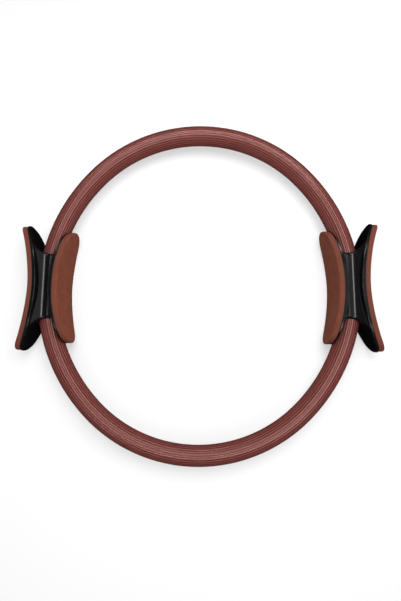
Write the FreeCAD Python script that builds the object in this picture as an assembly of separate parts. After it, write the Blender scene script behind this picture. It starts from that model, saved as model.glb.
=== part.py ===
"""Pilates ring: a sprung oval hoop in a rubber sleeve, with a padded grip on each side.

The hoop lies flat in the XY plane with its axis along Z. The grips are at +X and -X, the origin is the
middle of the hoop, and all sizes are millimetres.
"""
import FreeCAD
import Part
import math
import os

# Hoop centreline: an oval of four tangent arcs, which meet at this angle in degrees
HOOP_HALF_WIDTH = 166.0
HOOP_HALF_HEIGHT = 177.0
ARC_MEETING_ANGLE = 45.0

# Rubber sleeve and the three fibreglass rods inside each half of the hoop
SLEEVE_DIAMETER = 21.5
SLEEVE_END_Y = 28.0
ROD_DIAMETER = 4.0
ROD_PITCH = 4.5
ROD_END_Y = 12.0
ROD_LEVELS = {"top": 1, "middle": 0, "bottom": -1}
ROD_CLEARANCE = 0.15

# Nylon socket that joins the rods of the two halves inside a grip
SOCKET_WALL = 1.8
SOCKET_END_WALL = 2.6
SOCKET_CLEARANCE = 0.2
SOCKET_CORNER = 1.5

# Moulded grip: two shells, each a curved wing plate with half of the barrel
SLEEVE_CLEARANCE = 0.3
INNER_WALL = 2.3
OUTER_WALL = 1.3
BARREL_WALL = 2.7
SADDLE_RADIUS = 12.5
SADDLE_SLOPE = 26.0
SADDLE_TO_JOINT = 1.4
COLLAR_ENGAGEMENT = 7.2
COLLAR_TO_JOINT = 4.4
COLLAR_RADIUS = 18.0
COLLAR_SLOPE = 45.0
COLLAR_ROUND = 2.5
ROOT_ROUND = 2.0
ROOT_OVERLAP = 0.6
PLATE_THICKNESS = 3.7
PLATE_FRONT_ROUND = 0.3
PLATE_BACK_ROUND = 0.8
INNER_TIP_THICKNESS = 1.4
OUTER_TIP_THICKNESS = 2.6
INNER_RIM = 0.3
OUTER_RIM = 0.9
SHELL_JOINT_GAP = 0.1

# Foam pads: curvature of the face, then the outline of the pad on its plate
INNER_FACE_RADIUS = 175.0
INNER_PAD_HALF_LENGTH = 61.4
INNER_PAD_HALF_WIDTH = 23.2
INNER_PAD_END_RADIUS = 19.0
OUTER_FACE_RADIUS = 147.7
OUTER_PAD_HALF_LENGTH = 69.0
OUTER_PAD_HALF_WIDTH = 22.6
OUTER_PAD_END_RADIUS = 15.0
PAD_FLAT_HALF_LENGTH = 12.0
PAD_THICKNESS = 6.3
PAD_CROWN = 0.8
PAD_EDGE_ROUND = 2.0
PAD_GLUE_GAP = 0.1

# Screws that clamp the shells and the socket together, hidden under the outer pad
SCREW_DIAMETER = 3.5
SCREW_LENGTH = 15.0
SCREW_POINT = 2.5
SCREW_SPACING = 10.0
SCREW_HEAD_DIAMETER = 6.6
SCREW_HEAD_HEIGHT = 1.5
SCREW_SLOT_WIDTH = 1.0
SCREW_SLOT_DEPTH = 0.8
SCREW_CLEARANCE = 0.15
HEAD_SINK = 1.8

# Values that follow from the driving dimensions
OVAL_OFFSET = (HOOP_HALF_HEIGHT - HOOP_HALF_WIDTH) * (1.0 + math.sqrt(0.5))
SIDE_RADIUS = HOOP_HALF_WIDTH + OVAL_OFFSET
CROWN_RADIUS = HOOP_HALF_HEIGHT - OVAL_OFFSET
SLEEVE_RADIUS = SLEEVE_DIAMETER / 2
SEAT_BORE_RADIUS = SLEEVE_RADIUS + SLEEVE_CLEARANCE
BARREL_HALF_HEIGHT = SEAT_BORE_RADIUS + BARREL_WALL
ROD_STACK_HEIGHT = ROD_PITCH * (len(ROD_LEVELS) - 1) + ROD_DIAMETER
ROD_BORE = ROD_DIAMETER + 2 * ROD_CLEARANCE
SOCKET_WIDTH = ROD_DIAMETER + 2 * SOCKET_WALL
SOCKET_HEIGHT = ROD_STACK_HEIGHT + 2 * SOCKET_END_WALL

Z_AXIS = FreeCAD.Vector(0, 0, 1)


def side_arc_x(y):
    """X of the hoop's centreline on the right-hand side arc, at a height y."""
    return math.sqrt(SIDE_RADIUS ** 2 - y ** 2) - OVAL_OFFSET


def sagitta(radius, half_chord):
    """Depth of an arc of this radius over half of its chord."""
    return radius - math.sqrt(radius ** 2 - half_chord ** 2)


SLEEVE_END_X = side_arc_x(SLEEVE_END_Y)
JOINT_X = SLEEVE_END_X
INNER_SEAT_RADIUS = INNER_FACE_RADIUS + PAD_THICKNESS
OUTER_SEAT_RADIUS = OUTER_FACE_RADIUS + PAD_THICKNESS
INNER_SEAT_X = (SLEEVE_END_X - SEAT_BORE_RADIUS - INNER_WALL
                + sagitta(INNER_SEAT_RADIUS, SLEEVE_END_Y))
OUTER_SEAT_X = (SLEEVE_END_X + SEAT_BORE_RADIUS + OUTER_WALL
                - sagitta(OUTER_SEAT_RADIUS, SLEEVE_END_Y))
INNER_CENTRE_X = INNER_SEAT_X - INNER_SEAT_RADIUS
OUTER_CENTRE_X = OUTER_SEAT_X + OUTER_SEAT_RADIUS
COLLAR_Y = SLEEVE_END_Y + COLLAR_ENGAGEMENT


def circle_face(radius, z=0.0):
    """Round section in the XZ plane."""
    circle = Part.Circle(FreeCAD.Vector(0, 0, z), FreeCAD.Vector(0, 1, 0), radius)
    return Part.Face(Part.Wire(circle.toShape()))


def rounded_wire(width, height, corner):
    """Rectangle in the XZ plane with rounded corners, as one wire."""
    u = width / 2
    w = height / 2
    k = corner * (1 - math.sqrt(0.5))
    edges = []
    for su, sw in ((1, 1), (-1, 1), (-1, -1), (1, -1)):
        on_side = FreeCAD.Vector(su * u, 0, sw * (w - corner))
        on_top = FreeCAD.Vector(su * (u - corner), 0, sw * w)
        middle = FreeCAD.Vector(su * (u - k), 0, sw * (w - k))
        first, last = (on_side, on_top) if su * sw > 0 else (on_top, on_side)
        edges.append((first, middle, last))
    shapes = []
    for i, (first, middle, last) in enumerate(edges):
        shapes.append(Part.Arc(first, middle, last).toShape())
        following = edges[(i + 1) % len(edges)][0]
        if last.distanceToPoint(following) > 1e-6:
            shapes.append(Part.LineSegment(last, following).toShape())
    return Part.Wire(shapes)


def turned(section, centre_x, centre_y, radius, start, end):
    """Solid of a section carried round a Z axis, from one angle to another in degrees."""
    axis = FreeCAD.Vector(centre_x, centre_y, 0)
    face = section.copy()
    face.translate(FreeCAD.Vector(centre_x + radius, centre_y, 0))
    face.rotate(axis, Z_AXIS, start)
    return face.revolve(axis, Z_AXIS, end - start)


def side_angle(y):
    """Angle on the right-hand side arc of the centreline at a height y, in degrees."""
    return math.degrees(math.asin(y / SIDE_RADIUS))


def along_side(section, from_y, to_y):
    """Solid of a section carried along the right-hand side arc."""
    return turned(section, -OVAL_OFFSET, 0, SIDE_RADIUS, side_angle(from_y), side_angle(to_y))


def along_upper_half(section, end_y):
    """Solid of a section carried over the upper half of the hoop, between its two ends."""
    start = side_angle(end_y)
    meeting = ARC_MEETING_ANGLE
    right = turned(section, -OVAL_OFFSET, 0, SIDE_RADIUS, start, meeting)
    crown = turned(section, 0, OVAL_OFFSET, CROWN_RADIUS, meeting, 180 - meeting)
    left = turned(section, OVAL_OFFSET, 0, SIDE_RADIUS, 180 - meeting, 180 - start)
    return right.fuse([crown, left]).Solids[0]


def sleeve_section():
    """Round rubber section with an upright slot for the stack of rods."""
    outer = Part.Wire(Part.Circle(FreeCAD.Vector(), FreeCAD.Vector(0, 1, 0), SLEEVE_RADIUS).toShape())
    slot = rounded_wire(ROD_BORE, ROD_STACK_HEIGHT + 2 * ROD_CLEARANCE, ROD_BORE / 2)
    return Part.makeFace([outer, slot], "Part::FaceMakerBullseye")


def rod_socket():
    """Curved block with a blind hole for each rod end and two cross holes for the screws."""
    block = Part.Face(rounded_wire(SOCKET_WIDTH, SOCKET_HEIGHT, SOCKET_CORNER))
    end_y = SLEEVE_END_Y - SOCKET_CLEARANCE
    socket = along_side(block, -end_y, end_y)
    holes = []
    for level in ROD_LEVELS.values():
        bore = circle_face(ROD_BORE / 2, level * ROD_PITCH)
        holes.append(along_side(bore, ROD_END_Y - ROD_CLEARANCE, SLEEVE_END_Y))
        holes.append(along_side(bore, -SLEEVE_END_Y, -ROD_END_Y + ROD_CLEARANCE))
    return socket.cut(holes + screw_holes()).Solids[0]


def screw_places():
    """Points on the outer plate's seat where the two screws stand, above and below the hoop's plane."""
    return [FreeCAD.Vector(OUTER_SEAT_X, 0, side * SCREW_SPACING / 2) for side in (1, -1)]


def screw_holes():
    """Clearance holes along the screws, with a sunk seat for each head."""
    shank_radius = SCREW_DIAMETER / 2 + SCREW_CLEARANCE
    head_radius = SCREW_HEAD_DIAMETER / 2 + SCREW_CLEARANCE
    inward = FreeCAD.Vector(-1, 0, 0)
    depth = HEAD_SINK + SCREW_LENGTH + SCREW_CLEARANCE
    holes = []
    for place in screw_places():
        holes.append(Part.makeCylinder(shank_radius, depth, place, inward))
        above = place + FreeCAD.Vector(SCREW_HEAD_HEIGHT, 0, 0)
        holes.append(Part.makeCylinder(head_radius, SCREW_HEAD_HEIGHT + HEAD_SINK, above, inward))
    return holes


def screw(place):
    """Slotted self-tapping screw with a domed head, driven towards the middle of the hoop."""
    r = SCREW_DIAMETER / 2
    head = SCREW_HEAD_DIAMETER / 2
    dome = SCREW_HEAD_HEIGHT
    points = [(0, -SCREW_LENGTH), (r, SCREW_POINT - SCREW_LENGTH), (r, 0), (head, 0), (head, dome / 2)]
    corners = [FreeCAD.Vector(x, 0, z) for z, x in points]
    dome_radius = (head ** 2 + (dome / 2) ** 2) / dome
    top = FreeCAD.Vector(dome, 0, 0)
    shoulder = FreeCAD.Vector(dome - sagitta(dome_radius, head / 2), 0, head / 2)
    edges = [Part.LineSegment(a, b).toShape() for a, b in zip(corners, corners[1:])]
    edges.append(Part.Arc(corners[-1], shoulder, top).toShape())
    edges.append(Part.LineSegment(top, corners[0]).toShape())
    body = Part.Face(Part.Wire(edges)).revolve(FreeCAD.Vector(), FreeCAD.Vector(1, 0, 0), 360)
    slot = Part.makeBox(SCREW_SLOT_DEPTH, SCREW_HEAD_DIAMETER, SCREW_SLOT_WIDTH)
    slot.translate(FreeCAD.Vector(dome - SCREW_SLOT_DEPTH, -head, -SCREW_SLOT_WIDTH / 2))
    body = body.cut(slot)
    body.translate(place - FreeCAD.Vector(HEAD_SINK, 0, 0))
    return body


def oblong_prism(half_length, half_width, end_radius, x_from, x_to):
    """Prism along X of a rounded oblong: short flats, long side arcs and round ends, all tangent."""
    flat = PAD_FLAT_HALF_LENGTH
    end_y = half_length - end_radius
    side_radius = (((end_y - flat) ** 2 + half_width ** 2 - end_radius ** 2)
                   / (2 * (half_width - end_radius)))
    turn = math.atan2(side_radius - half_width, end_y - flat)

    def on_side(angle):
        rise = side_radius * (1 - math.sin(angle))
        return flat + side_radius * math.cos(angle), half_width - rise

    join = on_side(turn)
    middle = on_side((turn + math.pi / 2) / 2)
    edges = []
    for sy, sz in ((1, 1), (1, -1), (-1, -1), (-1, 1)):
        a, b, c = (FreeCAD.Vector(x_from, sy * y, sz * z) for y, z in ((flat, half_width), middle, join))
        edges.append(Part.Arc(a, b, c).toShape())
    for s in (1, -1):
        corners = [FreeCAD.Vector(x_from, s * join[0], z) for z in (join[1], -join[1])]
        tip = FreeCAD.Vector(x_from, s * half_length, 0)
        edges.append(Part.Arc(corners[0], tip, corners[1]).toShape())
        ends = [FreeCAD.Vector(x_from, y, s * half_width) for y in (-flat, flat)]
        edges.append(Part.LineSegment(*ends).toShape())
    outline = Part.Wire(Part.__sortEdges__(edges))
    return Part.Face(outline).extrude(FreeCAD.Vector(x_to - x_from, 0, 0))


def trough(radius, slope, length):
    """Cutter along Z with its lowest line on the Z axis: an arc between tangent slopes, open towards +Y."""
    turn = math.radians(slope)
    reach = 2 * radius
    side = FreeCAD.Vector(radius * math.sin(turn), radius * (1 - math.cos(turn)), -length / 2)
    edge = FreeCAD.Vector(reach, side.y + (reach - side.x) * math.tan(turn), side.z)
    top = FreeCAD.Vector(reach, edge.y + reach, side.z)
    right = [side, edge, top]
    left = [FreeCAD.Vector(-p.x, p.y, p.z) for p in reversed(right)]
    corners = right + left
    edges = [Part.LineSegment(a, b).toShape() for a, b in zip(corners, corners[1:])]
    edges.append(Part.Arc(left[-1], FreeCAD.Vector(0, 0, side.z), side).toShape())
    return Part.Face(Part.Wire(edges)).extrude(FreeCAD.Vector(0, 0, length))


def barrel_cutters():
    """Cutters that leave the barrel a saddle above and below and a swept collar at each end."""
    length = 4 * COLLAR_Y
    cutters = []
    for side in (1, -1):
        saddle = trough(SADDLE_RADIUS, SADDLE_SLOPE, length)
        saddle.rotate(FreeCAD.Vector(), FreeCAD.Vector(1, 0, 0), side * 90)
        saddle.translate(FreeCAD.Vector(JOINT_X - SADDLE_TO_JOINT, 0, side * BARREL_HALF_HEIGHT))
        collar = trough(COLLAR_RADIUS, COLLAR_SLOPE, length)
        collar.rotate(FreeCAD.Vector(), Z_AXIS, 90 - side * 90)
        collar.translate(FreeCAD.Vector(JOINT_X - COLLAR_TO_JOINT, side * COLLAR_Y, 0))
        cutters += [saddle, collar]
    return cutters


def middle_of(edge):
    """Point half way along an edge."""
    return edge.valueAt((edge.FirstParameter + edge.LastParameter) / 2)


def from_axis(point, centre_x):
    """Distance of a point from an upright axis."""
    return math.hypot(point.x - centre_x, point.y)


def edges_about(shape, centre_x, radius):
    """Edges of a shape whose ends are both at one distance from an upright axis."""
    return [e for e in shape.Edges
            if all(abs(from_axis(v.Point, centre_x) - radius) < 1e-3 for v in e.Vertexes)]


class Wing:
    """One wing of the grip: its curved plate, the barrel half behind it and the pad on it."""

    def __init__(self, centre_x, face_radius, seat_x, half_length, half_width, end_radius,
                 rim, tip_thickness):
        self.centre_x = centre_x
        self.face_radius = face_radius
        self.seat_radius = face_radius + PAD_THICKNESS
        self.seat_x = seat_x
        self.half_length = half_length
        self.half_width = half_width
        self.end_radius = end_radius
        self.rim = rim
        self.away = math.copysign(1.0, seat_x - JOINT_X)
        wall_drop = sagitta(self.seat_radius, half_length) + PLATE_THICKNESS - tip_thickness
        self.wall_radius = (half_length ** 2 + wall_drop ** 2) / (2 * wall_drop)
        self.wall_centre_x = seat_x + self.away * (self.wall_radius - PLATE_THICKNESS)

    def prism(self, rim):
        """Block of the wing's outline, grown by a rim, from the shell joint to past the pad's tips."""
        reach = abs(self.seat_x - JOINT_X) + self.half_length
        sizes = (self.half_length + rim, self.half_width + rim, self.end_radius + rim)
        return oblong_prism(*sizes, JOINT_X, JOINT_X + self.away * reach)

    def bar(self, centre_x, radius):
        """Round bar about an upright axis, taller than the wing."""
        height = 2 * (self.half_width + self.rim)
        return Part.makeCylinder(radius, 2 * height, FreeCAD.Vector(centre_x, 0, -height))

    def plate(self):
        """Bent plate, thinner towards its tips, with a fine round at the pad and a larger one behind."""
        bent = self.prism(self.rim).common(self.bar(self.wall_centre_x, self.wall_radius))
        bent = bent.cut(self.bar(self.centre_x, self.seat_radius)).Solids[0]
        bent = bent.makeFillet(PLATE_FRONT_ROUND, edges_about(bent, self.centre_x, self.seat_radius))
        return bent.makeFillet(PLATE_BACK_ROUND, edges_about(bent, self.wall_centre_x, self.wall_radius))

    def barrel_half(self):
        """Half of the barrel, from the shell joint to just inside the plate, with rounded collar lips."""
        near = JOINT_X + self.away * SHELL_JOINT_GAP / 2
        far = near + self.away * self.half_width
        half_length = COLLAR_Y + COLLAR_RADIUS
        block = Part.makeBox(abs(far - near), 2 * half_length, 2 * self.half_width,
                             FreeCAD.Vector(min(near, far), -half_length, -self.half_width))
        sunk = self.bar(self.wall_centre_x, self.wall_radius - ROOT_OVERLAP)
        barrel = block.cut([sunk] + barrel_cutters()).Solids[0]
        middles = [(e, middle_of(e)) for e in barrel.Edges]
        lips = [e for e, m in middles if abs(m.y) > SLEEVE_END_Y and abs(m.z) > SEAT_BORE_RADIUS]
        return barrel.makeFillet(COLLAR_ROUND, lips)

    def rooted_barrel(self):
        """Barrel half with a rounded root, on a skin of the plate's back up to where its edge round begins.

        The skin is wider than the plate until the root is rounded, so the round has a wall to end on.
        """
        barrel = self.barrel_half()
        reach = 2 * self.half_length
        space = Part.makeBox(reach, 2 * reach, 2 * reach, FreeCAD.Vector(JOINT_X, -reach, -reach))
        if self.away < 0:
            space.translate(FreeCAD.Vector(-reach, 0, 0))
        skin = space.common(self.bar(self.wall_centre_x, self.wall_radius))
        skin = skin.cut(self.bar(self.wall_centre_x, self.wall_radius - ROOT_OVERLAP))
        body = skin.fuse(barrel).Solids[0]
        middles = [(e, middle_of(e)) for e in edges_about(body, self.wall_centre_x, self.wall_radius)]
        root = [e for e, m in middles
                if abs(m.y) < barrel.BoundBox.YMax and abs(m.z) < barrel.BoundBox.ZMax]
        body = body.makeFillet(ROOT_ROUND, root)
        return body.common(self.prism(self.rim - PLATE_BACK_ROUND)).Solids[0]

    def shell(self):
        """Wing plate and barrel half in one moulding, hollowed for the sleeves, socket and screws."""
        body = self.plate().fuse(self.rooted_barrel()).removeSplitter()
        return body.cut(grip_hollows()).Solids[0]

    def pad(self):
        """Foam pad bent to its plate, crowned across its width, with a soft front edge."""
        crown_radius = (self.half_width ** 2 + PAD_CROWN ** 2) / (2 * PAD_CROWN)
        edge_z = self.half_width + PAD_THICKNESS
        edge_radius = self.face_radius + sagitta(crown_radius, edge_z)
        back = self.seat_radius - PAD_GLUE_GAP
        corners = [FreeCAD.Vector(r, 0, z) for r, z in
                   ((edge_radius, edge_z), (back, edge_z), (back, -edge_z), (edge_radius, -edge_z))]
        edges = [Part.LineSegment(a, b).toShape() for a, b in zip(corners, corners[1:])]
        edges.append(Part.Arc(corners[-1], FreeCAD.Vector(self.face_radius, 0, 0), corners[0]).toShape())
        half_turn = math.degrees(math.asin((self.half_length + PAD_THICKNESS) / self.face_radius))
        facing = 0 if self.seat_x > self.centre_x else 180
        section = Part.Face(Part.Wire(edges))
        bent = turned(section, self.centre_x, 0, 0, facing - half_turn, facing + half_turn)
        bent = bent.common(self.prism(0)).Solids[0]
        middle_radius = (self.face_radius + self.seat_radius) / 2
        front = [e for e in bent.Edges
                 if all(from_axis(v.Point, self.centre_x) < middle_radius for v in e.Vertexes)]
        return bent.makeFillet(PAD_EDGE_ROUND, front)


def grip_hollows():
    """Everything that is taken out of the shells: sleeve bores, socket pocket and screw holes."""
    bore = circle_face(SEAT_BORE_RADIUS)
    past_tips = INNER_PAD_HALF_LENGTH + SLEEVE_DIAMETER
    pocket = Part.Face(rounded_wire(SOCKET_WIDTH + 2 * SOCKET_CLEARANCE,
                                    SOCKET_HEIGHT + 2 * SOCKET_CLEARANCE, SOCKET_CORNER))
    hollows = [along_side(bore, SLEEVE_END_Y - SOCKET_CLEARANCE, past_tips),
               along_side(bore, -past_tips, SOCKET_CLEARANCE - SLEEVE_END_Y),
               along_side(pocket, -SLEEVE_END_Y, SLEEVE_END_Y)]
    return hollows + screw_holes()


def hoop_pieces():
    """Sleeve and rods of the upper half of the hoop, by name."""
    pieces = {"sleeve": along_upper_half(sleeve_section(), SLEEVE_END_Y)}
    for name, level in ROD_LEVELS.items():
        rod = circle_face(ROD_DIAMETER / 2, level * ROD_PITCH)
        pieces["core_rod_" + name] = along_upper_half(rod, ROD_END_Y)
    return pieces


def grip_pieces():
    """Pieces of the right-hand grip, by name."""
    inner = Wing(INNER_CENTRE_X, INNER_FACE_RADIUS, INNER_SEAT_X,
                 INNER_PAD_HALF_LENGTH, INNER_PAD_HALF_WIDTH, INNER_PAD_END_RADIUS,
                 INNER_RIM, INNER_TIP_THICKNESS)
    outer = Wing(OUTER_CENTRE_X, OUTER_FACE_RADIUS, OUTER_SEAT_X,
                 OUTER_PAD_HALF_LENGTH, OUTER_PAD_HALF_WIDTH, OUTER_PAD_END_RADIUS,
                 OUTER_RIM, OUTER_TIP_THICKNESS)
    return {"inner_shell": inner.shell(),
            "outer_shell": outer.shell(),
            "inner_pad": inner.pad(),
            "outer_pad": outer.pad(),
            "rod_socket": rod_socket(),
            "shell_screws": Part.makeCompound([screw(place) for place in screw_places()])}


def main():
    """Write one STEP file for each piece, with the lower half and the left grip as mirror images."""
    os.makedirs("parts", exist_ok=True)
    middle = FreeCAD.Vector()
    for name, shape in hoop_pieces().items():
        shape.exportStep("parts/upper_" + name + ".step")
        shape.mirror(middle, FreeCAD.Vector(0, 1, 0)).exportStep("parts/lower_" + name + ".step")
    for name, shape in grip_pieces().items():
        shape.exportStep("parts/right_" + name + ".step")
        shape.mirror(middle, FreeCAD.Vector(1, 0, 0)).exportStep("parts/left_" + name + ".step")


main()
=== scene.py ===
"""Looks of a pilates ring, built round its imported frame.

The hoop lies flat in the XY plane with its axis along Z, the grips are at +X and -X, and the origin is
the middle of the hoop. Every size is in metres.
"""
import logging
import math
from dataclasses import dataclass
from enum import Enum

import bpy
import numpy as np
from mathutils import Matrix, Vector


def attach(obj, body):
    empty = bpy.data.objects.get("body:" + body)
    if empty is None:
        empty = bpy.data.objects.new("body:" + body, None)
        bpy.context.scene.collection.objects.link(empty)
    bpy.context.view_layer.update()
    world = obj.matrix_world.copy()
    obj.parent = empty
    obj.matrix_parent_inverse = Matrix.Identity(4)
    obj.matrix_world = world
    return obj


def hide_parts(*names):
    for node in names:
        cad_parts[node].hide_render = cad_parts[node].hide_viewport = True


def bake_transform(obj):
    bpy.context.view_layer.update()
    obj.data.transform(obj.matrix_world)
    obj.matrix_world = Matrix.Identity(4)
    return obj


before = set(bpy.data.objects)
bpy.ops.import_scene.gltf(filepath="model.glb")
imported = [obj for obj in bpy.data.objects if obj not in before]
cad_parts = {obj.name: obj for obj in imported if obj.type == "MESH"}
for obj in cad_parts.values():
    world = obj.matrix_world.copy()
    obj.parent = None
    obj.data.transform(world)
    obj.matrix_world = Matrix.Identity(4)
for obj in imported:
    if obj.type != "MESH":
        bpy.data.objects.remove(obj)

LOG = logging.getLogger("pilates_ring")
WELD_STEP = 1e-7
SINE_DIGITS = 9
WHITE = (1.0, 1.0, 1.0)

MOTTLE_RANGE = (0.3, 0.7)
MOTTLE_CONTRAST = 0.9
PATCH_RANGE = (0.35, 0.65)
STREAK_RANGE = (0.4, 0.7)
STREAK_STRETCH = (1.0, 0.12, 1.0)
BUMP_STRENGTH = 0.6

# The sockets of a mix node share their names, so they go by number.
MIX_FACTOR = 0
MIX_NUMBERS = (2, 3)
MIX_NUMBER_RESULT = 0
MIX_COLOURS = (6, 7)
MIX_COLOUR_RESULT = 2

Colour = tuple[float, float, float]
Point = tuple[float, float, float]
Materials = dict[str, bpy.types.Material]


class Labelled(Enum):
    """Set of choices whose names go into the names of pieces."""

    @property
    def label(self) -> str:
        """Lower-case word used in names."""
        return self.name.lower()


class Side(Labelled):
    """Grip side of the ring, with the sign of its X."""

    RIGHT = 1
    LEFT = -1

    @property
    def body(self) -> str:
        """Moving body of this side's grip."""
        return f"{self.label}_grip"


class HoopHalf(Labelled):
    """Half of the hoop, with the sign of its Y."""

    UPPER = 1
    LOWER = -1


class RodLevel(Labelled):
    """Place of a rod in its stack, as steps above the hoop's plane."""

    TOP = 1
    MIDDLE = 0
    BOTTOM = -1


def lattice_faces(rows: int, cols: int, wrap_rows: bool) -> np.ndarray:
    """Corner indices of the quads between the points of a lattice that closes round its columns.

    Args:
        rows: Number of rings of points.
        cols: Number of points in each ring.
        wrap_rows: Whether the last ring joins the first.

    Returns:
        One row of four point indices for each quad.
    """
    index = np.arange(rows * cols).reshape(rows, cols)
    beside = np.roll(index, -1, axis=1)
    above = np.roll(index, -1, axis=0)
    corner = np.roll(beside, -1, axis=0)
    quads = np.stack([index, beside, corner, above], axis=-1)
    if not wrap_rows:
        quads = quads[:-1]
    return quads.reshape(-1, 4)


def signed_volume(points: np.ndarray, quads: np.ndarray) -> float:
    """Volume inside closed quads, negative where they face inwards.

    The sum over both triangles of each quad of a . (b x c) / 6.

    Args:
        points: Point coordinates.
        quads: Corner indices of each quad.

    Returns:
        The signed volume.
    """
    a, b, c, d = (points[quads[:, i]] for i in range(4))
    first = np.einsum("ij,ij->i", a, np.cross(b, c))
    second = np.einsum("ij,ij->i", a, np.cross(c, d))
    return float((first + second).sum() / 6)


def closed_mesh(name: str, rings: np.ndarray, wrap_rows: bool = False, sharp: float = 40.0,
                marks: dict[str, np.ndarray] | None = None) -> bpy.types.Object:
    """Object of rings of points joined by quads, with coincident points welded and faces outwards.

    Args:
        name: Name of the object.
        rings: Array of rings by points by coordinates.
        wrap_rows: Whether the last ring joins the first.
        sharp: Angle in degrees above which an edge is creased in the shading.
        marks: Values for each point, by attribute name, in the shape of the rings.

    Returns:
        The new object, linked to the scene.
    """
    rows, cols = rings.shape[:2]
    points = rings.reshape(-1, 3)
    quads = lattice_faces(rows, cols, wrap_rows)
    if signed_volume(points, quads) < 0:
        quads = quads[:, ::-1]
    _, first, place = np.unique(np.round(points / WELD_STEP).astype(np.int64), axis=0,
                                return_index=True, return_inverse=True)
    quads = place.reshape(-1)[quads]
    kept = quads != np.roll(quads, -1, axis=1)
    whole = kept.sum(axis=1) > 2
    quads, kept = quads[whole], kept[whole]
    corners = quads[kept]
    counts = kept.sum(axis=1)
    mesh = bpy.data.meshes.new(name)
    mesh.vertices.add(len(first))
    mesh.vertices.foreach_set("co", points[first].astype(np.float32).ravel())
    mesh.loops.add(len(corners))
    mesh.loops.foreach_set("vertex_index", corners.astype(np.int32))
    mesh.polygons.add(len(counts))
    mesh.polygons.foreach_set("loop_start", (np.cumsum(counts) - counts).astype(np.int32))
    mesh.update(calc_edges=True)
    mesh.shade_smooth()
    mesh.set_sharp_from_angle(angle=math.radians(sharp))
    for mark, values in (marks or {}).items():
        layer = mesh.attributes.new(mark, "FLOAT", "POINT")
        layer.data.foreach_set("value", values.ravel()[first].astype(np.float32))
    piece = bpy.data.objects.new(name, mesh)
    bpy.context.scene.collection.objects.link(piece)
    return piece


class NodeSheet:
    """Shorthand for laying out the nodes of one material or group."""

    def __init__(self, tree: bpy.types.NodeTree) -> None:
        """Keep the tree that the nodes go into."""
        self.tree = tree

    def add(self, kind: str, settings: dict[str, object] | None = None,
            **inputs: object) -> bpy.types.Node:
        """Add a node, set its properties and fill or link its inputs.

        Args:
            kind: Node type.
            settings: Properties of the node.
            inputs: Value or output socket for each input, with spaces in names as underscores.

        Returns:
            The new node.
        """
        node = self.tree.nodes.new(kind)
        for key, value in (settings or {}).items():
            setattr(node, key, value)
        for key, value in inputs.items():
            self.feed(node, key.replace("_", " "), value)
        return node

    def feed(self, node: bpy.types.Node, socket: str | int, value: object) -> None:
        """Link an output socket to an input, or set the input's value."""
        if isinstance(value, bpy.types.NodeSocket):
            self.tree.links.new(value, node.inputs[socket])
        else:
            node.inputs[socket].default_value = value

    def mix(self, factor: object, low: object, high: object) -> bpy.types.NodeSocket:
        """Colour between two colours.

        Args:
            factor: Share of the second colour.
            low: First colour.
            high: Second colour.

        Returns:
            The mixed colour's socket.
        """
        node = self.add("ShaderNodeMix", {"data_type": "RGBA"})
        self.feed(node, MIX_FACTOR, factor)
        for socket, colour in zip(MIX_COLOURS, (low, high)):
            self.feed(node, socket, colour)
        return node.outputs[MIX_COLOUR_RESULT]

    def calc(self, operation: str, first: object, second: object) -> bpy.types.NodeSocket:
        """Result of an operation on two numbers.

        Args:
            operation: Name of the operation.
            first: First number.
            second: Second number.

        Returns:
            The result's socket.
        """
        node = self.add("ShaderNodeMath", {"operation": operation})
        self.feed(node, 0, first)
        self.feed(node, 1, second)
        return node.outputs[0]

    def span(self, value: object, low: float, high: float, to_low: object,
             to_high: object) -> bpy.types.NodeSocket:
        """Value carried from one range to another and held at its ends.

        Args:
            value: Incoming value.
            low: Start of the incoming range.
            high: End of the incoming range.
            to_low: Result at the start.
            to_high: Result at the end.

        Returns:
            The result's socket.
        """
        node = self.add("ShaderNodeMapRange", {"clamp": True}, Value=value, From_Min=low, From_Max=high,
                        To_Min=to_low, To_Max=to_high)
        return node.outputs["Result"]


def effect_group(name: str, inputs: dict[str, float],
                 output: str) -> tuple[NodeSheet, bpy.types.Node, bpy.types.Node]:
    """Empty shader group with a position input, named numbers and one named result.

    Args:
        name: Name of the group.
        inputs: Default value of each number that the group takes.
        output: Name of the number that the group gives.

    Returns:
        The sheet to lay nodes on, the group's input node and its output node.
    """
    tree = bpy.data.node_groups.new(name, "ShaderNodeTree")
    tree.interface.new_socket("Position", in_out="INPUT", socket_type="NodeSocketVector")
    for label, value in inputs.items():
        socket = tree.interface.new_socket(label, in_out="INPUT", socket_type="NodeSocketFloat")
        socket.default_value = value
    tree.interface.new_socket(output, in_out="OUTPUT", socket_type="NodeSocketFloat")
    return NodeSheet(tree), tree.nodes.new("NodeGroupInput"), tree.nodes.new("NodeGroupOutput")


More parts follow.
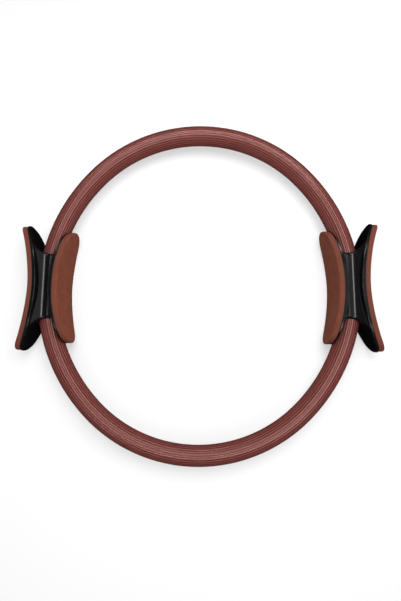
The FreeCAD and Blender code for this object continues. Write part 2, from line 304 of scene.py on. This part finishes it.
class Effects:
    """Shader groups that several finishes share."""

    def __init__(self) -> None:
        """Build each group once."""
        self.mottle = self.make_mottle()
        self.grain = self.make_grain()
        self.scuffs = self.make_scuffs()

    @staticmethod
    def make_mottle() -> bpy.types.NodeTree:
        """Cloudy mask about a half, for small changes of colour."""
        sheet, given, result = effect_group("surface_mottle", {"Scale": 60.0, "Contrast": 0.5}, "Mask")
        clouds = sheet.add("ShaderNodeTexNoise", Vector=given.outputs["Position"],
                           Scale=given.outputs["Scale"], Detail=4.0, Roughness=0.6)
        swing = sheet.calc("MULTIPLY", given.outputs["Contrast"], 0.5)
        low = sheet.calc("SUBTRACT", 0.5, swing)
        high = sheet.calc("ADD", 0.5, swing)
        sheet.feed(result, "Mask", sheet.span(clouds.outputs["Fac"], *MOTTLE_RANGE, low, high))
        return sheet.tree

    @staticmethod
    def make_grain() -> bpy.types.NodeTree:
        """Height of a fine moulded skin: small cells softened by noise."""
        sheet, given, result = effect_group("moulded_grain", {"Scale": 1500.0, "Cells": 0.5}, "Height")
        noise = sheet.add("ShaderNodeTexNoise", Vector=given.outputs["Position"],
                          Scale=given.outputs["Scale"], Detail=2.0, Roughness=0.5)
        cells = sheet.add("ShaderNodeTexVoronoi", {"feature": "F1"}, Vector=given.outputs["Position"],
                          Scale=given.outputs["Scale"])
        blend = sheet.add("ShaderNodeMix", {"data_type": "FLOAT"})
        sheet.feed(blend, MIX_FACTOR, given.outputs["Cells"])
        for socket, height in zip(MIX_NUMBERS, (noise.outputs["Fac"], cells.outputs["Distance"])):
            sheet.feed(blend, socket, height)
        sheet.feed(result, "Height", blend.outputs[MIX_NUMBER_RESULT])
        return sheet.tree

    @staticmethod
    def make_scuffs() -> bpy.types.NodeTree:
        """Mask of places rubbed by hands: broad soft patches broken up by fine streaks."""
        sheet, given, result = effect_group("hand_scuffs", {"Scale": 25.0, "Streaks": 220.0}, "Mask")
        patch = sheet.add("ShaderNodeTexNoise", Vector=given.outputs["Position"],
                          Scale=given.outputs["Scale"], Detail=2.0)
        stretch = sheet.add("ShaderNodeVectorMath", {"operation": "MULTIPLY"})
        sheet.feed(stretch, 0, given.outputs["Position"])
        sheet.feed(stretch, 1, STREAK_STRETCH)
        streak = sheet.add("ShaderNodeTexNoise", Vector=stretch.outputs[0],
                           Scale=given.outputs["Streaks"], Detail=3.0)
        rubbed = sheet.calc("MULTIPLY", sheet.span(patch.outputs["Fac"], *PATCH_RANGE, 0.0, 1.0),
                            sheet.span(streak.outputs["Fac"], *STREAK_RANGE, 0.0, 1.0))
        sheet.feed(result, "Mask", rubbed)
        return sheet.tree


@dataclass(frozen=True)
class Finish:
    """One moulded finish: two close colours, a gloss with rubbed places and a fine skin.

    Attributes:
        name: Name of the material.
        dark: Darker colour of the mottle.
        light: Lighter colour of the mottle.
        rough: Roughness of the untouched skin.
        rubbed: Roughness where hands have rubbed it.
        mottle_scale: Size of the mottle, in clouds to the metre.
        grain_scale: Size of the skin's grain, in cells to the metre.
        grain_cells: Share of round cells in the grain.
        grain_depth: Depth of the grain.
        specular: Strength of the surface reflection.
        tint: Colour of the surface reflection.
        metallic: Whether the surface is bare metal.
        crest: Name of the point attribute that mixes in the crest colour, if the piece has one.
        painted_light_colour: Painted light: the lighter colour mixed in by that attribute, a painted
            highlight on the sleeve's rib crests and painted light on the front of a pad.
        crest_mottle: Share by which the mottle darkens and lightens that colour.
    """

    name: str
    dark: Colour
    light: Colour
    rough: float
    rubbed: float
    mottle_scale: float = 60.0
    grain_scale: float = 1500.0
    grain_cells: float = 0.5
    grain_depth: float = 0.00005
    specular: float = 0.5
    tint: Colour = WHITE
    metallic: float = 0.0
    crest: str = ""
    painted_light_colour: Colour = WHITE
    crest_mottle: float = 0.10

    @property
    def slot(self) -> str:
        """Name of the finish."""
        return self.name

    def make(self, effects: Effects) -> bpy.types.Material:
        """Lay out the material.

        Args:
            effects: Shared shader groups.

        Returns:
            The new material.
        """
        material = bpy.data.materials.new(self.name)
        material.use_nodes = True
        material.node_tree.nodes.clear()
        sheet = NodeSheet(material.node_tree)
        place = sheet.add("ShaderNodeTexCoord").outputs["Object"]
        mottle = sheet.add("ShaderNodeGroup", {"node_tree": effects.mottle}, Position=place,
                           Scale=self.mottle_scale, Contrast=MOTTLE_CONTRAST)
        scuffs = sheet.add("ShaderNodeGroup", {"node_tree": effects.scuffs}, Position=place)
        grain = sheet.add("ShaderNodeGroup", {"node_tree": effects.grain}, Position=place,
                          Scale=self.grain_scale, Cells=self.grain_cells)
        colour = sheet.mix(mottle.outputs["Mask"], (*self.dark, 1.0), (*self.light, 1.0))
        rough = sheet.span(scuffs.outputs["Mask"], 0.0, 1.0, self.rough, self.rubbed)
        # Painted light: where the attribute is high the colour turns to the lighter crest colour, a
        # painted highlight on rib crests and painted light on a pad's front; where it is low the sleeve
        # keeps its darker groove colour, painted shade.
        if self.crest:
            height = sheet.add("ShaderNodeAttribute", {"attribute_name": self.crest}).outputs["Fac"]
            dull, bright = ([level * part for part in self.painted_light_colour]
                            for level in (1 - self.crest_mottle, 1 + self.crest_mottle))
            crest = sheet.mix(mottle.outputs["Mask"], (*dull, 1.0), (*bright, 1.0))
            colour = sheet.mix(height, colour, crest)
        bump = sheet.add("ShaderNodeBump", Strength=BUMP_STRENGTH, Distance=self.grain_depth,
                         Height=grain.outputs["Height"])
        shader = sheet.add("ShaderNodeBsdfPrincipled", Base_Color=colour, Roughness=rough,
                           Metallic=self.metallic, Specular_IOR_Level=self.specular,
                           Specular_Tint=(*self.tint, 1.0), Normal=bump.outputs["Normal"])
        output = sheet.add("ShaderNodeOutputMaterial", Surface=shader.outputs["BSDF"])
        output.is_active_output = True
        return material


# Painted shade and painted highlight: the dark and light colours darken the rib grooves as painted shade,
# and the much lighter crest colour is a painted highlight along each rib crest.
RUBBER = Finish("sleeve_rubber", (0.044, 0.0122, 0.0103), (0.051, 0.0142, 0.0120), 0.21, 0.19,
                mottle_scale=90.0, grain_scale=2500.0, grain_cells=0.3, grain_depth=0.00002,
                specular=0.32, tint=(1.0, 0.61, 0.57), crest="rib_crest",
                painted_light_colour=(0.156, 0.0434, 0.0367))
# Painted light: the front of each pad takes the lighter crest colour, painted light standing in for light
# that falls on the face; the sides stay darker.
FOAM = Finish("pad_foam", (0.098, 0.0296, 0.0182), (0.113, 0.0341, 0.0209), 0.80, 0.70,
              mottle_scale=120.0, grain_scale=1600.0, grain_cells=0.7, specular=0.06, crest="painted_face_light",
              painted_light_colour=(0.127, 0.0350, 0.0198), crest_mottle=0.14)
PLASTIC = Finish("grip_plastic", (0.0034, 0.0036, 0.0037), (0.0046, 0.0048, 0.0049), 0.17, 0.21,
                 mottle_scale=200.0, grain_scale=2200.0, grain_cells=0.2, grain_depth=0.0000005,
                 specular=0.20)
NYLON = Finish("socket_nylon", (0.030, 0.030, 0.032), (0.045, 0.045, 0.047), 0.48, 0.42,
               grain_scale=1800.0, grain_depth=0.00003)
FIBREGLASS = Finish("rod_fibreglass", (0.52, 0.49, 0.38), (0.62, 0.59, 0.47), 0.42, 0.36,
                    mottle_scale=300.0, grain_scale=2600.0, grain_depth=0.00002)
STEEL = Finish("screw_steel", (0.46, 0.47, 0.48), (0.58, 0.59, 0.60), 0.34, 0.28,
               mottle_scale=500.0, grain_scale=4000.0, grain_depth=0.00001, metallic=1.0)


def dress(piece: bpy.types.Object, finish: Finish, materials: Materials) -> None:
    """Give a piece its one material."""
    piece.data.materials.clear()
    piece.data.materials.append(materials[finish.name])


@dataclass(frozen=True)
class HoopOval:
    """Centreline of the hoop: an oval of four tangent arcs, flatter at the grips than at the crowns.

    Attributes:
        half_width: Distance from the middle to the centreline along X.
        half_height: Distance from the middle to the centreline along Y.
    """

    half_width: float = 0.166
    half_height: float = 0.177

    @property
    def offset(self) -> float:
        """Distance of the arcs' centres from the middle."""
        return (self.half_height - self.half_width) * (1 + math.sqrt(0.5))

    @property
    def side_radius(self) -> float:
        """Radius of the arcs through the grips."""
        return self.half_width + self.offset

    @property
    def crown_radius(self) -> float:
        """Radius of the arcs through the crowns."""
        return self.half_height - self.offset

    def side_turn(self, y: float) -> float:
        """Direction of the outward normal on a side arc at a height y, in radians from X."""
        return math.asin(y / self.side_radius)

    def at(self, turn: np.ndarray) -> tuple[np.ndarray, np.ndarray]:
        """Points of the first quarter and their outward normals.

        Up to 45 degrees a point is (-offset, 0) plus the side radius along the normal, and past it
        (0, offset) plus the crown radius along the normal.

        Args:
            turn: Directions of the normal in radians from X, from 0 to a quarter turn.

        Returns:
            Points and normals, each as rows of x, y, z.
        """
        normal = np.stack([np.cos(turn), np.sin(turn), np.zeros_like(turn)], axis=-1)
        on_side = (turn <= math.pi / 4)[:, None]
        from_side = np.array([-self.offset, 0, 0]) + self.side_radius * normal
        from_crown = np.array([0, self.offset, 0]) + self.crown_radius * normal
        return np.where(on_side, from_side, from_crown), normal

    def carry(self, turn: np.ndarray, section: np.ndarray) -> np.ndarray:
        """Rings of a section carried along the first quarter of the oval.

        A section point (u, w) goes to the centreline point plus u along the normal and w along Z.

        Args:
            turn: Directions of the normal along the path.
            section: Points u, w of the section.

        Returns:
            Array of rings by points by coordinates.
        """
        points, normal = self.at(turn)
        rings = points[:, None] + normal[:, None] * section[None, :, :1]
        rings[..., 2] += section[None, :, 1]
        return rings


@dataclass(frozen=True)
class HoopSpring:
    """The hoop: a ribbed sleeve over three fibreglass rods, built in quarters.

    Attributes:
        oval: Centreline.
        sleeve_radius: Radius of the sleeve over its ribs.
        sleeve_end_y: Y where the sleeve ends in a grip.
        rib_count: Number of ribs round the sleeve.
        rib_depth: Depth of the grooves between them.
        rib_samples: Number of points across a rib.
        rod_radius: Radius of a rod.
        rod_pitch: Distance between the rods of a stack.
        rod_end_y: Y where the rods end in a grip.
        rod_clearance: Gap between the rods and the slot in the sleeve.
        rod_sides: Number of points round a rod.
        path_steps: Number of steps along a quarter.
        bend_end_x: Distance from the middle past which a quarter fully follows its grip. Not used.
    """

    oval: HoopOval = HoopOval()
    sleeve_radius: float = 0.01075
    sleeve_end_y: float = 0.028
    rib_count: int = 28
    rib_depth: float = 0.00019
    rib_samples: int = 10
    rod_radius: float = 0.002
    rod_pitch: float = 0.0045
    rod_end_y: float = 0.012
    rod_clearance: float = 0.00015
    rod_sides: int = 24
    path_steps: int = 96
    bend_end_x: float = 0.152

    def turns(self, end_y: float) -> np.ndarray:
        """Directions along one quarter, from an end in a grip to the crown."""
        return np.linspace(self.oval.side_turn(end_y), math.pi / 2, self.path_steps + 1)

    def ribbed_section(self) -> tuple[np.ndarray, np.ndarray]:
        """Round section with lengthwise ribs.

        The radius is the sleeve's, less the rib depth times 1 - sin(n a / 2) squared for n ribs at an
        angle a, which gives evenly rounded crests and grooves.

        Returns:
            Points u, w of the section and the share of the crest at each.
        """
        count = self.rib_count * self.rib_samples
        angle = np.arange(count) * 2 * math.pi / count
        crest = np.sin(self.rib_count * angle / 2) ** 2
        radius = self.sleeve_radius - self.rib_depth * (1 - crest)
        return np.stack([radius * np.cos(angle), radius * np.sin(angle)], axis=-1), crest

    def bore_section(self, count: int) -> np.ndarray:
        """Upright slot round the stack of rods.

        A small circle whose upper half is lifted and lower half lowered by the reach of the stack.

        Args:
            count: Number of points.

        Returns:
            Points u, w of the slot.
        """
        angle = np.arange(count) * 2 * math.pi / count
        radius = self.rod_radius + self.rod_clearance
        lift = self.rod_pitch * np.sign(np.round(np.sin(angle), SINE_DIGITS))
        return np.stack([radius * np.cos(angle), radius * np.sin(angle) + lift], axis=-1)

    def place(self, rings: np.ndarray, side: Side, half: HoopHalf) -> np.ndarray:
        """Mirror the first quarter's rings to another quarter."""
        return rings * np.array([side.value, half.value, 1.0])

    def bend(self, piece: bpy.types.Object) -> None:
        """Bake the quarter's transform into its mesh."""
        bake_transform(piece)

    def build_sleeve(self, side: Side, half: HoopHalf) -> bpy.types.Object:
        """Quarter of the sleeve: ribbed outside, slotted bore and flat ends as one closed lattice.

        Args:
            side: Grip that the quarter runs to.
            half: Half of the hoop that the quarter is in.

        Returns:
            The piece.
        """
        turn = self.turns(self.sleeve_end_y)
        outline, crest = self.ribbed_section()
        outside = self.oval.carry(turn, outline)
        inside = self.oval.carry(turn, self.bore_section(len(outline)))[::-1]
        rings = self.place(np.concatenate([outside, inside]), side, half)
        # The crest share marks where the sleeve's painted highlight goes; where it is low the grooves
        # keep the painted shade.
        high = np.concatenate([np.tile(crest, (len(turn), 1)), np.zeros(inside.shape[:2])])
        piece = closed_mesh(f"{half.label}_sleeve_{side.label}", rings, wrap_rows=True,
                            marks={"rib_crest": high})
        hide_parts(f"{half.label}_sleeve")
        self.bend(piece)
        return piece

    def build_rod(self, level: RodLevel, side: Side, half: HoopHalf) -> bpy.types.Object:
        """Quarter of one rod: a round section carried along the oval, closed at both ends.

        Args:
            level: Place of the rod in its stack.
            side: Grip that the quarter runs to.
            half: Half of the hoop that the quarter is in.

        Returns:
            The piece.
        """
        turn = self.turns(self.rod_end_y)
        angle = np.arange(self.rod_sides) * 2 * math.pi / self.rod_sides
        circle = np.stack([np.cos(angle), np.sin(angle)], axis=-1) * self.rod_radius
        middle = np.array([0.0, level.value * self.rod_pitch])
        body = self.oval.carry(turn, circle + middle)
        caps = self.oval.carry(turn[[0, -1]], np.tile(middle, (self.rod_sides, 1)))
        rings = self.place(np.concatenate([caps[:1], body, caps[1:]]), side, half)
        name = f"{half.label}_core_rod_{level.label}"
        piece = closed_mesh(f"{name}_{side.label}", rings)
        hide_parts(name)
        self.bend(piece)
        return piece

    def build(self, materials: Materials) -> list[bpy.types.Object]:
        """Build and dress every quarter.

        Args:
            materials: Materials by finish name.

        Returns:
            The pieces.
        """
        pieces = []
        for half in HoopHalf:
            for side in Side:
                sleeve = self.build_sleeve(side, half)
                dress(sleeve, RUBBER, materials)
                pieces.append(sleeve)
                for level in RodLevel:
                    rod = self.build_rod(level, side, half)
                    dress(rod, FIBREGLASS, materials)
                    pieces.append(rod)
        return pieces


class WingFace(Labelled):
    """Which way a wing of the grip faces, with the sign from its curvature centre to its plate."""

    INNER = 1
    OUTER = -1


@dataclass(frozen=True)
class FoamPad:
    """Foam pad bent to a wing of the grip, crowned across its width, with a soft front edge.

    Attributes:
        face: Wing that carries the pad.
        seat_x: X of the plate's seat in the middle of the right-hand grip.
        face_radius: Radius of the pad's front along the hoop's plane.
        half_length: Half of the outline along Y.
        half_width: Half of the outline along Z.
        end_radius: Radius of the outline's round ends.
        flat: Half of the straight run in the middle of each long side.
        thickness: Thickness in the middle.
        glue: Gap between the pad's back and its seat.
        crown: Drop of the front from the middle to the long edges.
        edge: Radius of the front edge.
        back_edge: Radius of the back edge.
        bulge: Swelling of the sides half way up.
        crease: Angle in degrees above which an edge is creased in the shading.
        end_samples: Number of points on a quarter's end arc.
        side_samples: Number of points on a quarter's long side arc.
        flat_samples: Number of points on a quarter's straight run.
        face_rings: Number of rings on the front.
        edge_rings: Number of steps round the front edge.
        side_rings: Number of rings up the side.
        back_edge_rings: Number of rings round the back edge.
        back_rings: Number of rings on the back.
    """

    face: WingFace
    seat_x: float
    face_radius: float
    half_length: float
    half_width: float
    end_radius: float
    flat: float = 0.012
    thickness: float = 0.0063
    glue: float = 0.0001
    crown: float = 0.0008
    edge: float = 0.0016
    back_edge: float = 0.0004
    bulge: float = 0.00015
    crease: float = 60.0
    end_samples: int = 14
    side_samples: int = 40
    flat_samples: int = 4
    face_rings: int = 22
    edge_rings: int = 8
    side_rings: int = 6
    back_edge_rings: int = 4
    back_rings: int = 7

    def outline(self) -> tuple[np.ndarray, np.ndarray, np.ndarray]:
        """Arcs of the outline, as the centre, normal and radius at each of its points.

        Each quarter has an end arc about (half length - end radius, 0) and a long side arc about a point
        below the straight run, with the radius that makes the two tangent.

        Returns:
            Centres, normals and radii, once round the outline.
        """
        end_y = self.half_length - self.end_radius
        run = end_y - self.flat
        side_radius = ((run ** 2 + self.half_width ** 2 - self.end_radius ** 2)
                       / (2 * (self.half_width - self.end_radius)))
        turn = math.atan2(side_radius - self.half_width, run)
        end = np.linspace(0, turn, self.end_samples, endpoint=False)
        long = np.linspace(turn, math.pi / 2, self.side_samples, endpoint=False)
        straight = np.linspace(self.flat, 0, self.flat_samples, endpoint=False)
        angle = np.concatenate([end, long, np.full(len(straight), math.pi / 2)])
        centre_y = np.concatenate([np.full(len(end), end_y), np.full(len(long), self.flat), straight])
        centre_z = np.concatenate([np.zeros(len(end)),
                                   np.full(len(long) + len(straight), self.half_width - side_radius)])
        radius = np.concatenate([np.full(len(end), self.end_radius),
                                 np.full(len(long) + len(straight), side_radius)])
        top = np.array([[0.0, self.half_width - side_radius]])
        centre = np.stack([centre_y, centre_z], axis=-1)
        normal = np.stack([np.cos(angle), np.sin(angle)], axis=-1)
        flip_y, flip_z = np.array([-1.0, 1.0]), np.array([1.0, -1.0])
        over = np.array([[0.0, 1.0]])
        half_centre = np.concatenate([centre, top, (centre * flip_y)[:0:-1]])
        half_normal = np.concatenate([normal, over, (normal * flip_y)[:0:-1]])
        half_radius = np.concatenate([radius, [side_radius], radius[:0:-1]])
        tip = (centre[:1] * flip_y, normal[:1] * flip_y, radius[:1])
        centres = np.concatenate([half_centre, tip[0], (half_centre * flip_z)[:0:-1]])
        normals = np.concatenate([half_normal, tip[1], (half_normal * flip_z)[:0:-1]])
        radii = np.concatenate([half_radius, tip[2], half_radius[:0:-1]])
        return centres, normals, radii

    def rings(self) -> tuple[np.ndarray, np.ndarray]:
        """Rings of the pad from the middle of its front, over the edges, to the middle of its back.

        A ring is the outline drawn in by a distance, or that outline shrunk towards the pad's long axis.
        Its height above the seat follows the crowned front, a quarter round at the front edge, the
        swelling side and the flat back. A point (y, z) at a height h then goes to the plate's bend:
        x = centre + sign * sqrt((seat radius - h)^2 - y^2).

        Returns:
            Array of rings by points by coordinates, and the share of painted light on the front at each
            point.
        """
        centre, normal, radius = self.outline()
        spine_reach = self.half_length - self.end_radius

        def drawn_in(distance: float) -> np.ndarray:
            """Outline moved inwards along its normals."""
            return centre + (radius - distance)[:, None] * normal

        def shrunk(outline: np.ndarray, share: np.ndarray) -> np.ndarray:
            """Copies of an outline, each drawn to its share of the way out from the long axis."""
            along = np.clip(outline[:, 0], -spine_reach, spine_reach)
            spine = np.stack([along, np.zeros(len(outline))], axis=-1)
            return spine + share[:, None, None] * (outline - spine)

        def front(z: np.ndarray) -> np.ndarray:
            """Height of the crowned front above the seat."""
            return self.thickness - self.crown * (z / self.half_width) ** 2

        share = np.linspace(0, 1, self.face_rings, endpoint=False)
        face = shrunk(drawn_in(self.edge), share)
        face_height = front(face[..., 1])
        round_angle = np.linspace(0, math.pi / 2, self.edge_rings + 1)
        edge = np.stack([drawn_in(self.edge * (1 - math.sin(a))) for a in round_angle])
        edge_height = front(edge[:1, :, 1]) - self.edge * (1 - np.cos(round_angle))[:, None]
        level = np.linspace(0, 1, self.side_rings + 2)[1:-1]
        side = np.stack([drawn_in(-self.bulge * math.sin(math.pi * a)) for a in level])
        top = edge_height[-1:]
        foot = self.glue + self.back_edge
        side_height = top + (foot - top) * level[:, None]
        back_angle = np.linspace(0, math.pi / 2, self.back_edge_rings)
        under = np.stack([drawn_in(self.back_edge * (1 - math.cos(a))) for a in back_angle])
        under_height = np.tile((foot - self.back_edge * np.sin(back_angle))[:, None], (1, len(centre)))
        back = shrunk(drawn_in(self.back_edge), np.linspace(1, 0, self.back_rings + 1)[1:])
        back_height = np.full(back.shape[:2], self.glue)
        flat = np.concatenate([face, edge, side, under, back])
        height = np.concatenate([face_height, edge_height, side_height, under_height, back_height])
        seat_radius = self.face_radius + self.thickness
        centre_x = self.seat_x - self.face.value * seat_radius
        x = centre_x + self.face.value * np.sqrt((seat_radius - height) ** 2 - flat[..., 0] ** 2)
        # Painted light: the front and the top of its edge round take the pad's lighter colour, as painted
        # light on the face; the sides and back take none.
        skin = np.concatenate([np.ones(face.shape[:2]),
                               np.tile(np.cos(round_angle)[:, None] ** 2, (1, len(centre))),
                               np.zeros((len(side) + len(under) + len(back), len(centre)))])
        return np.stack([x, flat[..., 0], flat[..., 1]], axis=-1), skin

    def build(self, side: Side, materials: Materials) -> bpy.types.Object:
        """Build and dress the pad on one side of the ring.

        Args:
            side: Side of the ring.
            materials: Materials by finish name.

        Returns:
            The piece.
        """
        rings, skin = self.rings()
        node = f"{side.label}_{self.face.label}_pad"
        piece = closed_mesh(f"{node}_foam", rings * np.array([side.value, 1.0, 1.0]),
                            sharp=self.crease, marks={"painted_face_light": skin})
        dress(piece, FOAM, materials)
        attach(piece, side.body)
        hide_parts(node)
        return piece


@dataclass(frozen=True)
class Grip:
    """Both moulded grips: foam pads on the wings, and the shells, sockets and screws of the frame."""

    inner_pad: FoamPad = FoamPad(WingFace.INNER, seat_x=0.152687, face_radius=0.175, half_length=0.0614,
                                 half_width=0.0232, end_radius=0.019)
    outer_pad: FoamPad = FoamPad(WingFace.OUTER, seat_x=0.173650, face_radius=0.1477, half_length=0.0690,
                                 half_width=0.0226, end_radius=0.0150)

    def build(self, side: Side, materials: Materials) -> list[bpy.types.Object]:
        """Build one grip's pads and dress its frame pieces.

        Args:
            side: Side of the ring.
            materials: Materials by finish name.

        Returns:
            The pieces.
        """
        pieces = [pad.build(side, materials) for pad in (self.inner_pad, self.outer_pad)]
        finishes = {"inner_shell": PLASTIC, "outer_shell": PLASTIC, "rod_socket": NYLON,
                    "shell_screws": STEEL}
        for name, finish in finishes.items():
            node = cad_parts[f"{side.label}_{name}"]
            dress(node, finish, materials)
            pieces.append(node)
        return pieces


@dataclass(frozen=True)
class SoftBox:
    """One soft studio light, aimed at a point.

    Attributes:
        name: Name of the light.
        place: Where it stands.
        aim: Point that it faces.
        size: Width and length of the box.
        power: Output in watts.
        mirrored: Whether glossy surfaces show the box.
        lit: Whether matt surfaces are lit by the box.
        spread: Angle in degrees within which a grid in front of the box lets light out.
    """

    name: str
    place: Point
    aim: Point
    size: tuple[float, float]
    power: float
    mirrored: bool = False
    lit: bool = False
    spread: float = 180.0

    def build(self) -> None:
        """Put the light in the scene."""
        light = bpy.data.lights.new(self.name, "AREA")
        light.shape = "RECTANGLE"
        light.size, light.size_y = self.size
        light.energy = self.power
        light.spread = math.radians(self.spread)
        lamp = bpy.data.objects.new(self.name, light)
        lamp.location = self.place
        ray = Vector(self.aim) - Vector(self.place)
        lamp.rotation_euler = ray.to_track_quat("-Z", "Y").to_euler()
        lamp.visible_glossy = self.mirrored
        lamp.visible_diffuse = self.lit
        bpy.context.scene.collection.objects.link(lamp)


@dataclass(frozen=True)
class Studio:
    """Pale floor, soft light and the camera above the ring.

    The key box, the sheen panel and the rim boxes draw the streaks on the black grips. The back and front
    boxes put the shine on the tube's upper and lower arcs. The ceiling box and the right box light the
    matt surfaces and cast the shadow.

    Attributes:
        floor_z: Height of the floor.
        floor_reach: Half of the floor's side.
        floor_colour: Colour of the floor.
        floor_rough: Roughness of the floor.
        floor_glow: Strength of the floor's own light.
        sky: Strength of the light from all round.
        camera_place: Where the camera stands.
        camera_aim: Point in the middle of the picture.
        camera_roll: Turn of the camera about its line of sight, in radians.
        lens: Focal length in millimetres.
        sensor: Width of the sensor in millimetres.
        clip: Nearest and farthest distance that the camera sees.
        boxes: Lights.
    """

    floor_z: float = -0.0236
    floor_reach: float = 4.0
    floor_colour: Colour = (0.42, 0.42, 0.42)
    floor_rough: float = 0.8
    floor_glow: float = 0.42
    sky: float = 0.9
    camera_place: Point = (0.0177, -0.0679, 0.4104)
    camera_aim: Point = (0.0036, -0.0146, 0.0)
    camera_roll: float = -0.005
    lens: float = 34.03
    sensor: float = 36.0
    clip: tuple[float, float] = (0.01, 20.0)
    boxes: tuple[SoftBox, ...] = (
        SoftBox("key_box", (0.25, 0.55, 4.0), (0.25, 0.55, 0.0), (0.62, 1.5), 49.0, mirrored=True),
        SoftBox("back_box", (0.0, 0.51, 0.62), (0.0, 0.177, 0.0), (0.90, 0.10), 1.05, mirrored=True,
                spread=60.0),
        SoftBox("front_box", (0.0, -0.32, 0.62), (0.0, -0.177, 0.0), (0.90, 0.06), 0.62, mirrored=True,
                spread=60.0),
        SoftBox("sheen_panel", (0.62, 0.05, 1.0), (0.0, 0.0, 0.0), (0.8, 1.2), 2.6, mirrored=True),
        SoftBox("rim_left", (-1.2, 0.1, 0.4), (0.0, 0.0, 0.0), (0.5, 0.9), 3.6, mirrored=True),
        SoftBox("rim_right", (1.2, 0.1, 0.4), (0.0, 0.0, 0.0), (0.5, 0.9), 3.6, mirrored=True),
        SoftBox("ceiling_box", (0.06, 0.125, 0.5), (0.0, 0.0, 0.0), (0.35, 0.35), 2.95, lit=True),
        SoftBox("right_box", (1.6, 0.0, 0.5), (0.0, 0.0, 0.0), (0.8, 0.8), 1.3, lit=True, spread=70.0),
    )

    def build_floor(self) -> None:
        """Large square of pale floor just under the grips."""
        corners = np.array([[-1, -1, 0], [1, -1, 0], [1, 1, 0], [-1, 1, 0]]) * self.floor_reach
        mesh = bpy.data.meshes.new("pale_floor")
        mesh.from_pydata((corners + np.array([0, 0, self.floor_z])).tolist(), [], [(0, 1, 2, 3)])
        material = bpy.data.materials.new("pale_floor")
        material.use_nodes = True
        shader = material.node_tree.nodes["Principled BSDF"]
        shader.inputs["Base Color"].default_value = (*self.floor_colour, 1.0)
        shader.inputs["Emission Color"].default_value = (*WHITE, 1.0)
        shader.inputs["Emission Strength"].default_value = self.floor_glow
        shader.inputs["Roughness"].default_value = self.floor_rough
        shader.inputs["Specular IOR Level"].default_value = 0.0
        mesh.materials.append(material)
        floor = bpy.data.objects.new("pale_floor", mesh)
        bpy.context.scene.collection.objects.link(floor)
        floor.visible_glossy = False

    def build_sky(self) -> None:
        """Even white light from all round, kept out of reflections."""
        world = bpy.data.worlds.new("white_room")
        world.use_nodes = True
        sky = world.node_tree.nodes["Background"]
        sky.inputs["Color"].default_value = (*WHITE, 1.0)
        sky.inputs["Strength"].default_value = self.sky
        world.cycles_visibility.glossy = False
        bpy.context.scene.world = world

    def build_camera(self) -> None:
        """Camera almost straight above the ring, with the lens across the picture's width."""
        data = bpy.data.cameras.new("overhead_camera")
        data.sensor_fit = "HORIZONTAL"
        data.sensor_width = self.sensor
        data.lens = self.lens
        data.clip_start, data.clip_end = self.clip
        camera = bpy.data.objects.new("overhead_camera", data)
        back = (Vector(self.camera_place) - Vector(self.camera_aim)).normalized()
        up = Vector((math.sin(self.camera_roll), math.cos(self.camera_roll), 0.0))
        right = up.cross(back).normalized()
        turn = Matrix((right, back.cross(right), back)).transposed()
        camera.matrix_world = Matrix.Translation(self.camera_place) @ turn.to_4x4()
        bpy.context.scene.collection.objects.link(camera)
        bpy.context.scene.camera = camera

    def build(self) -> None:
        """Set up the whole studio."""
        self.build_floor()
        self.build_sky()
        self.build_camera()
        for box in self.boxes:
            box.build()
        bpy.context.scene.view_settings.view_transform = "Standard"


def main() -> None:
    """Build the studio, the hoop and both grips, and log the number of faces of each piece."""
    logging.basicConfig(level=logging.INFO, format="%(name)s: %(message)s")
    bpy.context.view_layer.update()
    effects = Effects()
    finishes = (RUBBER, FOAM, PLASTIC, NYLON, FIBREGLASS, STEEL)
    materials = {finish.name: finish.make(effects) for finish in finishes}
    Studio().build()
    pieces = HoopSpring().build(materials)
    for side in Side:
        pieces += Grip().build(side, materials)
    for piece in pieces:
        LOG.info("%s: %d faces", piece.name, len(piece.data.polygons))


if __name__ == "__main__":
    main()
